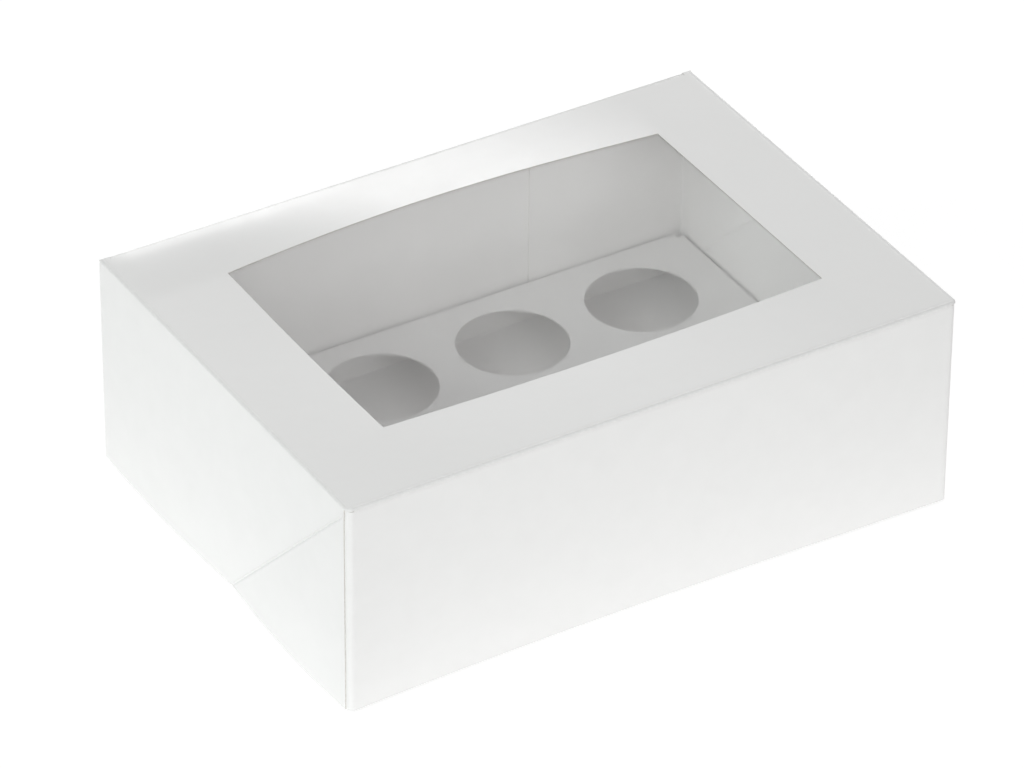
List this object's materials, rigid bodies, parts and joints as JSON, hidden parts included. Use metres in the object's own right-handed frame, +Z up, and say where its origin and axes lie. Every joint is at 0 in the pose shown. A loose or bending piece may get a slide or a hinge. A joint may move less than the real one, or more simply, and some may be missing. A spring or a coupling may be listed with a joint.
{
  "type": "cupcake box",
  "caption": "White card bakery box with a hinged full-depth lid, a clear film window in its top and a card insert with round holes.",
  "frame": {"origin": "middle of the tray's base on the table, taken over the whole closed box", "axes": "+X along the box's long side, +Y from the lid's front skirt to its hinge, +Z up"},
  "size_m": [0.3326, 0.235, 0.1207],
  "materials": {
    "white_board": "satin",
    "insert_board": "matt",
    "clear_film": "gloss"
  },
  "bodies": {
    "tray": {"base_tray": "white_board", "cupcake_insert": "insert_board"},
    "lid": {"lid": "white_board", "window_film": "clear_film"}
  },
  "joints": [
    {"name": "lid_hinge", "type": "hinge", "parent": "tray", "child": "lid", "pos_m": [0, 0.1172, 0.1147], "axis": [-1, 0, 0], "range_deg": [0, 180]}
  ]
}
